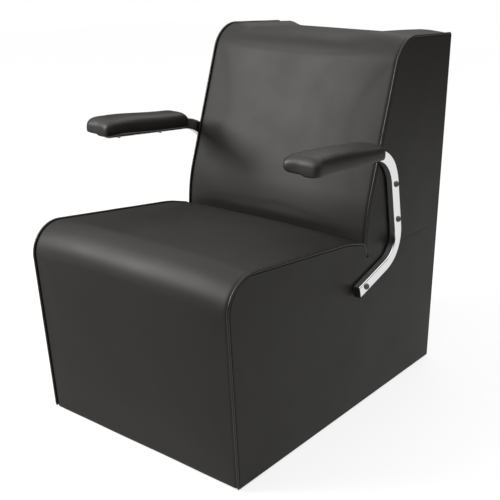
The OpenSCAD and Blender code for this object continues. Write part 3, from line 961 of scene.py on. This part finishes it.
@dataclass
class Panel:
    """A flat covered panel with rolled rims, cut to an outline in its own plane."""

    name: str
    outline: Sequence[Spot]
    rolls: Sequence[float]
    place: Callable[[float, float, float], Point]
    node: str
    seed: float
    pillow: float = 1.2
    holes: Sequence[Point] = ()
    thickness: float = 4.0
    gap: float = 42.0
    roll_steps: int = 5
    pillow_length: Spot = (190.0, 160.0)
    pillow_rim: Spot = (8.0, 90.0)
    drill_turns: int = 28
    drill_over: float = 4.0

    def rims(self, work: bmesh.types.BMesh) -> None:
        """Builds the panel's inner face, its rolled rim and its outer face.

        Args:
            work: The mesh to build in.
        """
        after = [*self.outline[1:], self.outline[0]]
        if sum(a[0] * b[1] - b[0] * a[1] for a, b in zip(self.outline, after)) < 0:
            self.outline = list(reversed(self.outline))
            self.rolls = list(reversed(self.rolls[:-1])) + [self.rolls[-1]]
        rings = [[(0.0, *p) for p in self.outline]]
        for k in range(self.roll_steps + 1):
            a = math.pi / 2 * k / self.roll_steps
            inner = shifted(self.outline, [r * (1 - math.cos(a)) for r in self.rolls])
            deep = [max(self.rolls[i - 1], self.rolls[i]) * (1 - math.sin(a)) for i in range(len(inner))]
            rings.append([(self.thickness - d, *p) for d, p in zip(deep, inner)])
        made = [[work.verts.new(p) for p in ring] for ring in rings]
        work.faces.new(list(reversed(made[0])))
        work.faces.new(made[-1])
        for low, high in zip(made, made[1:]):
            for face in zip(low, [*low[1:], low[0]], [*high[1:], high[0]], high):
                work.faces.new(face)

    def pad_out(self, work: bmesh.types.BMesh) -> None:
        """Splits the faces into a grid, makes the outer face slightly uneven and puts the panel in place.

        Args:
            work: The mesh that is being built.
        """
        low, high = (np.array([pick(p[k] for p in self.outline) for k in (0, 1)]) for pick in (min, max))
        for axis, normal in ((0, (0, 1, 0)), (1, (0, 0, 1))):
            count = math.ceil((high[axis] - low[axis]) / self.gap)
            for k in range(1, count):
                spot = [0.0, 0.0, 0.0]
                spot[axis + 1] = low[axis] + (high[axis] - low[axis]) * k / count
                everything = work.verts[:] + work.edges[:] + work.faces[:]
                bmesh.ops.bisect_plane(work, geom=everything, plane_co=spot, plane_no=normal)
        along, up = self.pillow_length
        for vert in work.verts:
            out, a, b = vert.co
            if out > self.thickness - 0.01:
                inside = min(a - low[0], high[0] - a, b - low[1], high[1] - b)
                full = 0.3 + 0.7 * ripple(a / along, b / up, self.seed)
                out += self.pillow * full * ease(*self.pillow_rim, inside)
            vert.co = self.place(out - self.thickness, a, b)

    def make(self) -> None:
        """Builds the panel and dresses it."""
        work = bmesh.new()
        self.rims(work)
        self.pad_out(work)
        mesh = bpy.data.meshes.new(self.name)
        work.to_mesh(mesh)
        work.free()
        piece = settle_faces(add_object(self.name, mesh))
        for hole in self.holes:
            self.drill(piece, *hole)
        piece.modifiers.new("true_normals", "WEIGHTED_NORMAL").keep_sharp = True
        finish_piece(piece, "vinyl", self.node)

    def drill(self, piece: bpy.types.Object, a: float, b: float, r: float) -> None:
        """Cuts a round hole through the panel.

        Args:
            piece: The panel.
            a: The hole's place along the panel.
            b: Its height.
            r: Its radius.
        """
        turns, over = self.drill_turns, self.drill_over
        angles = [2 * math.pi * k / turns for k in range(turns)]
        ring = [(a + r * math.cos(angle), b + r * math.sin(angle)) for angle in angles]
        points = [self.place(out, *spot) for out in (-self.thickness - over, over) for spot in ring]
        ends = [tuple(range(turns)), tuple(range(turns, 2 * turns))]
        cut(piece, new_piece("drill", points, [*grid_faces(2, turns, wrap=True), *ends]))


@dataclass
class Piping:
    """A piped edge: a cord in a strip of vinyl, sewn along one side of a cover."""

    name: str
    side: Side
    edge: Sequence[Corner]
    node: str
    seed: float
    turns: int = 14
    gap: float = 7.0
    bend_gap: float = 3.5
    closing: float = 0.55
    lumps: float = 0.035
    stray: float = 0.3

    def make(self) -> None:
        """Builds the piping and dresses it."""
        rows, turns = Route(self.edge).samples(self.gap, self.bend_gap), self.turns
        points = []
        for at in rows:
            closing = self.closing if at in (rows[0], rows[-1]) else 1.0
            r = SIZES.welt_r * closing * (1 + self.lumps * ripple(at.s / 22, 0.0, self.seed))
            stray = self.stray * ripple(at.s / 60, 4.0, self.seed)
            for j in range(turns):
                a = 2 * math.pi * j / turns
                lift = r * math.cos(a) + stray
                out = r * math.sin(a) - SIZES.welt_r
                points.append(on_side(self.side, out, at.y + at.ny * lift, at.z + at.nz * lift))
        first = (len(rows) - 1) * turns
        ends = [tuple(range(turns)), tuple(range(first, first + turns))]
        piece = new_piece(self.name, points, [*grid_faces(len(rows), turns, wrap=True), *ends])
        finish_piece(piece, "vinyl_piping", self.node)


@dataclass
class Upholstery:
    """Everything that is sewn or stapled on the box and the back."""

    rim: float = 3.2
    rear: float = 914.6
    rear_out: float = 1.2
    rear_gap: float = 1.0
    top_gap: float = 13.0
    seam_gap: float = 0.02
    welt_roll: float = 2.4
    seam_roll: float = 0.05
    rear_roll: float = 1.6
    run_gap: float = 60.0
    bend_gap: float = 9.0
    welt_rear: float = 3.0
    welt_drop: float = 16.0
    welt_bend: float = 4.0

    def edge_line(self, edge: Sequence[Corner]) -> list[Spot]:
        """A side panel's edge, which runs inside the piping of that edge."""
        rows = Route(edge).samples(self.run_gap, self.bend_gap)
        return [(at.y - at.ny * self.rim, at.z - at.nz * self.rim) for at in rows]

    def base_side(self) -> tuple[list[Spot], list[float]]:
        """The shape of a base side panel.

        Returns:
            Its outline, and the roll of the edge that follows each point.
        """
        top = SIZES.seam_h - self.seam_gap
        line = self.edge_line(SIZES.seat_edge())
        line = [(line[0][0], SIZES.base_z)] + line[1:-1] + [(line[-1][0], top)]
        rolls = [self.welt_roll] * (len(line) - 1) + [self.seam_roll, self.rear_roll, self.welt_roll]
        return line + [(self.rear, top), (self.rear, SIZES.base_z)], rolls

    def back_side(self) -> tuple[list[Spot], list[float]]:
        """The shape of a back side panel.

        Returns:
            Its outline, and the roll of the edge that follows each point.
        """
        low = SIZES.seam_h + self.seam_gap
        line = self.edge_line(SIZES.back_edge())
        rise = math.tan(math.radians(SIZES.top_fall))
        end = (self.rear, line[-1][1] + (line[-1][0] - self.rear) * rise)
        points = [(line[0][0], low)] + line[1:-1] + [end, (self.rear, low)]
        return points, [self.welt_roll] * (len(points) - 2) + [self.rear_roll, self.seam_roll]

    def rear_panel(self, part: str, low: float, high: float, seed: float, holes: Sequence[Point] = ()) -> None:
        """Builds a panel that closes the rear.

        Args:
            part: Which box it closes.
            low: Its lower edge.
            high: Its upper edge.
            seed: Start of its unevenness.
            holes: Place across, height and radius of each bolt hole.
        """
        half = SIZES.half_at(SIZES.depth, SIZES.cover_inset)
        outline = [(-half, low), (half, low), (half, high), (-half, high)]

        def place(out: float, a: float, b: float) -> Point:
            """Stands the panel at the rear, facing backwards."""
            return -a * MM, (SIZES.depth + self.rear_out + out - MID_Y) * MM, b * MM

        rolls, node = [self.rear_roll] * 4, f"{part}_rear_cover"
        Panel(f"{part}_rear_panel", outline, rolls, place, node, seed, pillow=0.9, holes=holes).make()

    def make(self) -> None:
        """Builds every cover, panel and piping."""
        seat_edge, back_edge = SIZES.seat_edge(), SIZES.back_edge()
        CrownedCover("seat_upholstery", seat_edge, SeatCrown(), "seat_cover", 3.0).make()
        CrownedCover("back_upholstery", back_edge, BackCrown(), "back_cover", 11.0).make()
        welt_y = SIZES.depth - self.welt_rear
        back_welt = [
            *back_edge[:-1],
            (welt_y, SIZES.rear_top_h, self.welt_bend),
            (welt_y, SIZES.rear_top_h - self.welt_drop, 0.0),
        ]
        for side in Side:

            def place(out: float, a: float, b: float, side: Side = side) -> Point:
                """Stands the panel at this side of the box."""
                return on_side(side, out, a, b)

            for part, shape, seed in (("base", self.base_side(), 2.0), ("back", self.back_side(), 5.0)):
                node = f"{part}_side_cover_{side.word}"
                Panel(f"{part}_side_panel_{side.word}", *shape, place, node, seed).make()
            for part, edge, seed in (("seat", seat_edge, 20.0), ("back", back_welt, 30.0)):
                node = f"{part}_welt_{side.word}"
                Piping(f"{part}_piping_{side.word}", side, edge, node, seed + side.value).make()
        bolts = [(x, z, SIZES.dryer_hole_r) for x in SIZES.dryer_xs for z in SIZES.dryer_zs]
        self.rear_panel("base", SIZES.base_z + self.rear_gap, SIZES.seam_h - self.rear_gap, 8.0)
        self.rear_panel("back", SIZES.seam_h + self.rear_gap, SIZES.rear_top_h - self.top_gap, 9.0, bolts)


# The arms


@dataclass(frozen=True)
class SidePose:
    """How one pad differs from the other: how far its rear drops, and its front lifts, in millimetres."""

    rear_drop: float
    front_lift: float


PAD_POSES = {Side.LEFT: SidePose(2.2, 0.0), Side.RIGHT: SidePose(-0.6, 3.0)}


@dataclass(frozen=True)
class PadFades:
    """Where the looseness of a pad's cover sets in or fades, in millimetres across, along and up."""

    hang_across: Spot = (-3.0, 9.0)
    hang_along: Spot = (18.0, 60.0)
    fold_across: Spot = (-10.0, 30.0)
    fold_along: Spot = (25.0, 80.0)
    streak_along: Spot = (30.0, 110.0)
    arch_start: Spot = (10.0, 80.0)
    arch_end: Spot = (110.0, 250.0)
    drop_along: Spot = (150.0, 290.0)
    inner_across: Spot = (0.0, 44.0)
    belly_start: Spot = (0.0, 16.0)
    belly_end: Spot = (30.0, 44.0)
    bulge_along: Spot = (25.0, 120.0)
    ahead_along: Spot = (0.0, 22.0)
    lift_along: Spot = (0.0, 220.0)


@dataclass
class ArmPad:
    """A vinyl-covered foam arm pad that takes the end of its tube in a slot in the underside."""

    side: Side
    length: float = 305.0
    width: float = 92.0
    height: float = 44.0
    belly: float = 18.0
    corner_r: float = 16.0
    top_r: float = 25.0
    foot_r: float = 5.0
    side_powers: Spot = (0.54, 0.42)
    rise_powers: Spot = (0.7, 0.25)
    outset: float = 1.0
    fall: float = 3.0
    lead: float = 39.0
    tube_h: float = 31.0
    tube_w: float = 20.0
    tube_drop: float = 9.0
    tube_out: float = 13.0
    tube_start: Spot = (225.0, 701.076)
    plate_w: float = 60.0
    plate_t: float = 4.0
    plate_inset: float = 14.0
    clearance: float = 0.4
    slot_lead: float = 1.0
    slot_over: float = 20.0
    bed_overlap: float = 0.2
    turns: int = 88
    end_steps: int = 12
    run_steps: int = 48
    shrink: float = 0.8
    voxel: float = 4.0
    stapled: float = 2.5
    hang: float = 3.4
    wander: float = 0.8
    pinch: float = 0.5
    streak: float = 0.35
    ripples: float = 0.7
    arch: float = 2.4
    inner_bulge: float = 5.5
    ahead: float = 4.0
    fades: PadFades = PadFades()
    fullness: float = 0.9
    cloth: ClothRun = ClothRun(pressure=3.0, cap_mm=2.2)

    def place(self, x: float, y: float, z: float) -> Point:
        """A point from the pad's own frame to the row frame.

        Args:
            x: Distance outside the tube's middle.
            y: Distance behind the pad's front.
            z: Height over its underside.

        Returns:
            The point in metres.
        """
        c, s = math.cos(math.radians(self.fall)), math.sin(math.radians(self.fall))
        along, up = y - self.lead, z - (self.tube_h / 2 - self.tube_drop)
        depth = self.tube_start[0] + along * c + up * s
        return on_side(self.side, self.tube_out + x, depth, self.tube_start[1] - along * s + up * c)

    def section(self, y: float) -> list[Spot]:
        """The pad's section at a distance behind its front, a little slim all round.

        Args:
            y: The distance.

        Returns:
            Points round the section, across from the middle and up.
        """
        near = min(y, self.length - y)

        def rounded(half: float, r: float) -> float:
            """Half-size towards a rounded end."""
            return half - r + math.sqrt(r * r - max(0.0, r - near) ** 2) - self.shrink

        half = rounded(self.width / 2, self.corner_r)
        up, down = rounded(self.height - self.belly, self.top_r), rounded(self.belly, self.foot_r)
        ring = []
        for j in range(self.turns):
            a = 2 * math.pi * (j + 0.5) / self.turns
            c, s = math.cos(a), math.sin(a)
            lower = int(s < 0)
            x = half * math.copysign(abs(c) ** self.side_powers[lower], c)
            z = math.copysign((up, down)[lower] * abs(s) ** self.rise_powers[lower], s)
            ring.append((x, self.belly + z))
        return ring

    def stations(self) -> list[float]:
        """Distances along the pad, closer together at its rounded ends.

        Returns:
            The distances behind its front.
        """
        r, steps = max(self.corner_r, self.top_r), self.end_steps
        quarter = [math.pi / 2 * k / steps for k in range(steps + 1)]
        end = [self.shrink + (r - self.shrink) * (1 - math.cos(a)) for a in quarter]
        run = [r + (self.length - 2 * r) * k / self.run_steps for k in range(1, self.run_steps)]
        return end + run + [self.length - y for y in reversed(end)]

    def slack(self, x: float, y: float, z: float) -> Point:
        """Moves a point of the cover as the loose vinyl hangs at the front and wrinkles.

        Args:
            x: Distance outside the pad's middle.
            y: Distance behind its front.
            z: Height over its underside.

        Returns:
            The moved point, in the same frame.
        """
        across, pose, f = x * self.side.value, PAD_POSES[self.side], self.fades
        low, high = 1 - ease(0.0, self.belly, z), ease(self.belly, self.height, z)
        hang = self.hang * ease(*f.hang_across, across) * (1 - ease(*f.hang_along, y))
        hang += self.wander * ripple(y / 55, across / 60, 40.0)
        fold = math.sin(z / 1.7 + y / 30) * low * ease(*f.fold_across, across) * (1 - ease(*f.fold_along, y))
        top = self.streak * ripple(y / 9 + x / 30, x / 40, 44.0) * (1 - ease(*f.streak_along, y))
        top += self.ripples * ripple(y / 60, x / 34, 42.0 + self.side.value)
        top += self.arch * ease(*f.arch_start, y) * (1 - ease(*f.arch_end, y))
        top -= pose.rear_drop * ease(*f.drop_along, y)
        inner, belly = ease(*f.inner_across, -x), ease(*f.belly_start, z) * (1 - ease(*f.belly_end, z))
        full = inner * (1 - ease(*f.bulge_along, y)) * (0.35 + 0.65 * belly)
        ahead = self.ahead * inner * (1 - ease(*f.ahead_along, y)) * belly
        lift = pose.front_lift * (1 - ease(*f.lift_along, y))
        return x - self.inner_bulge * full, y - self.pinch * fold - ahead, z - hang * low + top * high + lift

    def end_faces(self, first: int) -> list[tuple[int, ...]]:
        """Closes one end of the pad with quads from side to side, and a triangle at the top and underneath.

        Args:
            first: Number of the end's first point.

        Returns:
            The faces.
        """
        quarter, half = self.turns // 4, self.turns // 2
        rows = [(quarter + k, quarter + k + 1, quarter - k - 1, quarter - k) for k in range(1, half - 1)]
        tips = [(quarter, quarter + 1, quarter - 1), (quarter + half - 1, quarter + half, quarter + half + 1)]
        return [tuple(first + k % self.turns for k in face) for face in rows + tips]

    def make(self) -> None:
        """Builds the pad, lets it swell, cuts its slot and dresses it."""
        stations = self.stations()
        points = [(x * MM, y * MM, z * MM) for y in stations for x, z in self.section(y)]
        faces = grid_faces(len(stations), self.turns, wrap=True)
        for first in (0, (len(stations) - 1) * self.turns):
            faces += self.end_faces(first)
        piece = new_piece(f"arm_pad_cushion_{self.side.word}", points, faces)
        self.plump(piece)
        for vert in piece.data.vertices:
            x, y, z = self.slack(*(c / MM for c in vert.co))
            vert.co = self.place(self.outset + x, y, z)
        settle_faces(piece)
        self.cut_slot(piece)
        finish_piece(piece, "arm_pad_vinyl", f"arm_pad_{self.side.word}", pad=self.fullness)

    def plump(self, piece: bpy.types.Object) -> None:
        """Lets the pad swell as cloth over its foam, with its underside stapled down.

        Args:
            piece: The pad, in its own frame.
        """
        even = piece.modifiers.new("even", "REMESH")
        even.mode, even.voxel_size, even.use_smooth_shade = "VOXEL", self.voxel * MM, True
        freeze(piece)
        self.cloth.swell(piece, [v.index for v in piece.data.vertices if v.co.z < self.stapled * MM])
        piece.modifiers.new("fine", "SUBSURF").levels = 1
        freeze(piece)

    def cut_slot(self, piece: bpy.types.Object) -> None:
        """Cuts the tube's slot and the insert plate's bed out of the pad.

        Args:
            piece: The pad.
        """
        gap = self.clearance
        half, bed = self.tube_w / 2 + gap, self.plate_w / 2 + gap
        top, end = self.tube_h - self.tube_drop, self.plate_inset - gap
        run = (self.lead - self.slot_lead, self.length + self.slot_over)
        slot = ((-half, half), run, (-self.tube_drop, top + gap))
        depth = (top - self.bed_overlap, top + self.plate_t + gap)
        plate_bed = ((self.outset - bed, self.outset + bed), (end, self.length - end), depth)
        quads = [(0, 1, 3, 2), (4, 6, 7, 5), (0, 4, 5, 1), (2, 3, 7, 6), (0, 2, 6, 4), (1, 5, 7, 3)]
        for xs, ys, zs in (slot, plate_bed):
            corners = [self.place(x, y, z) for x in xs for y in ys for z in zs]
            cut(piece, new_piece("slot_cutter", corners, quads))


# The carried-over solids


@dataclass
class CarriedParts:
    """The solids that the scene keeps, each with its finish, and the plain soft ones that it dresses."""

    foam_round: float = 3.0
    cloth_front: float = 14.0
    cloth_rear_gap: float = 4.0
    cloth_layer: float = 7.0
    cloth_lift: float = 0.6
    cloth_sag: float = 1.6
    cloth_steps: int = 24

    def make(self) -> None:
        """Dresses every solid by its material slot, then makes the foams and the dust cloth."""
        slots = {row["node"]: row["material_slot"] for row in frame["record"]["subparts"]}
        for node, piece in frame["nodes"].items():
            finish = FINISHES[slots[node]]
            piece.data.materials.clear()
            piece.data.materials.append(finish.material())
            LOG.info("%s: %s", node, finish.name)
        for node in ("seat_foam", "back_foam"):
            self.foam(node)
        self.dust_cloth()

    def foam(self, node: str) -> None:
        """Makes a cut foam block with soft edges from its plain solid.

        Args:
            node: The solid's name.
        """
        piece = add_object(node + "_block", frame["nodes"][node].data.copy())
        work = bmesh.new()
        work.from_mesh(piece.data)
        bmesh.ops.remove_doubles(work, verts=work.verts, dist=1e-5)
        bmesh.ops.dissolve_limit(work, angle_limit=math.radians(1), verts=work.verts, edges=work.edges)
        work.to_mesh(piece.data)
        work.free()
        soft = piece.modifiers.new("soft_edges", "BEVEL")
        soft.width, soft.segments, soft.limit_method = self.foam_round * MM, 2, "ANGLE"
        freeze(piece)
        finish_piece(piece, "foam", node, pad=1.0)

    def dust_cloth(self) -> None:
        """Makes the cloth that is stapled under the base, and sags a little."""
        front, rear, count = self.cloth_front, SIZES.depth - self.cloth_rear_gap, self.cloth_steps
        points = []
        for i in range(count + 1):
            u = 2 * i / count - 1
            y = front + (rear - front) * i / count
            for j in range(count + 1):
                t = 2 * j / count - 1
                sag = self.cloth_sag * (1 - t**4) * (1 - u**4) * (0.7 + 0.3 * ripple(y / 80, t * 3, 50.0))
                x, z = t * SIZES.half_at(y, self.cloth_layer), SIZES.base_z + self.cloth_lift - sag
                points.append((x * MM, (y - MID_Y) * MM, z * MM))
        piece = new_piece("dust_cloth", points, grid_faces(count + 1, count + 1))
        finish_piece(piece, "dust_cloth", "dust_cover")


# The studio


@dataclass(frozen=True)
class Lamp:
    """A soft square light: its place and aim in metres, its side in metres and its power in watts."""

    name: str
    spot: Point
    aim: Point
    size: float
    watts: float

    def make(self) -> None:
        """Hangs the light."""
        data = bpy.data.lights.new(self.name, "AREA")
        data.shape, data.size, data.energy = "SQUARE", self.size, self.watts
        lamp = add_object(self.name, data)
        lamp.location = self.spot
        lamp.rotation_mode = "QUATERNION"
        lamp.rotation_quaternion = (Vector(self.aim) - Vector(self.spot)).to_track_quat("-Z", "Y")


LAMPS = (
    Lamp("high_key", (-1.9, -2.4, 3.0), (0.0, 0.0, 0.45), 1.8, 86.0),
    Lamp("front_key", (-2.3, -2.75, 1.9), (0.0, 0.0, 0.6), 0.9, 108.0),
    Lamp("right_fill", (3.4, 0.8, 1.6), (0.0, 0.0, 0.5), 2.0, 9.0),
    Lamp("rear_rim", (-1.0, 3.0, 3.0), (0.0, 0.0, 0.6), 2.2, 13.0),
)


@dataclass
class Studio:
    """A white floor, soft lights and the camera at the photograph's angle."""

    azimuth: float = 38.67
    pitch: float = 18.511
    roll: float = 0.563
    focal: float = 912.165
    frame_px: float = 500.0
    eye: Point = (1432.9, -1368.8, 1166.2)
    floor_reach: float = 9.0
    floor_steps: int = 12
    floor_grey: float = 0.2
    floor_glow: float = 0.8
    patch_at: Point = (1.3, 1.4, 0.0)
    patch_fade: Spot = (1.7, 3.3)
    patch_glow: float = 0.58
    overhead: float = 1.32
    overhead_fade: Spot = (0.35, 0.75)

    def camera(self) -> None:
        """Sets the camera."""
        data = bpy.data.cameras.new("camera")
        data.sensor_width = 36.0
        data.lens = data.sensor_width * self.focal / self.frame_px
        data.clip_end = 60.0
        eye = add_object("camera", data)
        a, p, r = (math.radians(v) for v in (self.azimuth, self.pitch, self.roll))
        back = Vector((math.sin(a) * math.cos(p), -math.cos(a) * math.cos(p), math.sin(p)))
        right = (-back).cross(Vector((0, 0, 1))).normalized()
        up = right.cross(-back)
        turned = (right * math.cos(r) + up * math.sin(r), up * math.cos(r) - right * math.sin(r), back)
        eye.matrix_world = Matrix(turned).transposed().to_4x4()
        eye.location = (self.eye[0] * MM, (self.eye[1] - MID_Y) * MM, self.eye[2] * MM)
        bpy.context.scene.camera = eye

    def floor(self) -> None:
        """Lays a wide plain floor."""
        count = self.floor_steps
        line = [self.floor_reach * (2 * k / count - 1) for k in range(count + 1)]
        piece = new_piece("floor", [(x, y, 0.0) for x in line for y in line], grid_faces(count + 1, count + 1))
        if piece.data.polygons[0].normal.z < 0:
            piece.data.flip_normals()
        piece.data.materials.append(self.floor_material())

    def floor_material(self) -> bpy.types.Material:
        """Makes the floor's pale finish, white in the picture, with a glowing patch that only reflections see:
        a painted reflection in the chrome and the vinyl.

        Returns:
            The material.
        """
        made = bpy.data.materials.new("studio_floor")
        made.use_nodes = True
        board = NodeBoard(made.node_tree)
        # The patch glows only for reflection rays: painted light for the chrome and the vinyl, not a lamp.
        away = board.add("ShaderNodeVectorMath", {0: board.place(), 1: self.patch_at}, operation="DISTANCE")
        reflection_glow = board.fade(away.outputs["Value"], *self.patch_fade, (self.patch_glow, 0.0))
        path = board.add("ShaderNodeLightPath").outputs
        seen = board.math("MULTIPLY", path["Is Camera Ray"], self.floor_glow)
        board.fill(
            made.node_tree.nodes["Principled BSDF"],
            {
                "Base Color": (self.floor_grey, self.floor_grey, self.floor_grey, 1.0),
                "Roughness": 0.9,
                "Specular IOR Level": 0.1,
                "Emission Color": (1.0, 1.0, 1.0, 1.0),
                "Emission Strength": board.math("MULTIPLY_ADD", path["Is Glossy Ray"], reflection_glow, seen),
            },
        )
        return made

    def sky(self) -> None:
        """Sets a surround that is white in the picture and lights the chair only from overhead."""
        world = bpy.data.worlds.new("surround")
        bpy.context.scene.world = world
        world.use_nodes = True
        board = NodeBoard(world.node_tree)
        aim = board.add("ShaderNodeSeparateXYZ", {0: board.add("ShaderNodeTexCoord").outputs["Generated"]})
        above = board.fade(aim.outputs[2], *self.overhead_fade, (0.0, self.overhead))
        seen = board.add("ShaderNodeLightPath").outputs["Is Camera Ray"]
        strength = board.math("MAXIMUM", seen, above)
        board.fill(world.node_tree.nodes["Background"], {"Color": (1.0, 1.0, 1.0, 1.0), "Strength": strength})

    def make(self) -> None:
        """Sets up the whole studio."""
        self.camera()
        self.floor()
        self.sky()
        for lamp in LAMPS:
            lamp.make()
        view = bpy.context.scene.view_settings
        view.view_transform = "Standard"
        view.look = "None"


def main() -> None:
    """Builds the chair in order."""
    Studio().make()
    CarriedParts().make()
    Upholstery().make()
    for side in Side:
        ArmPad(side).make()


if __name__ == "__main__":
    main()
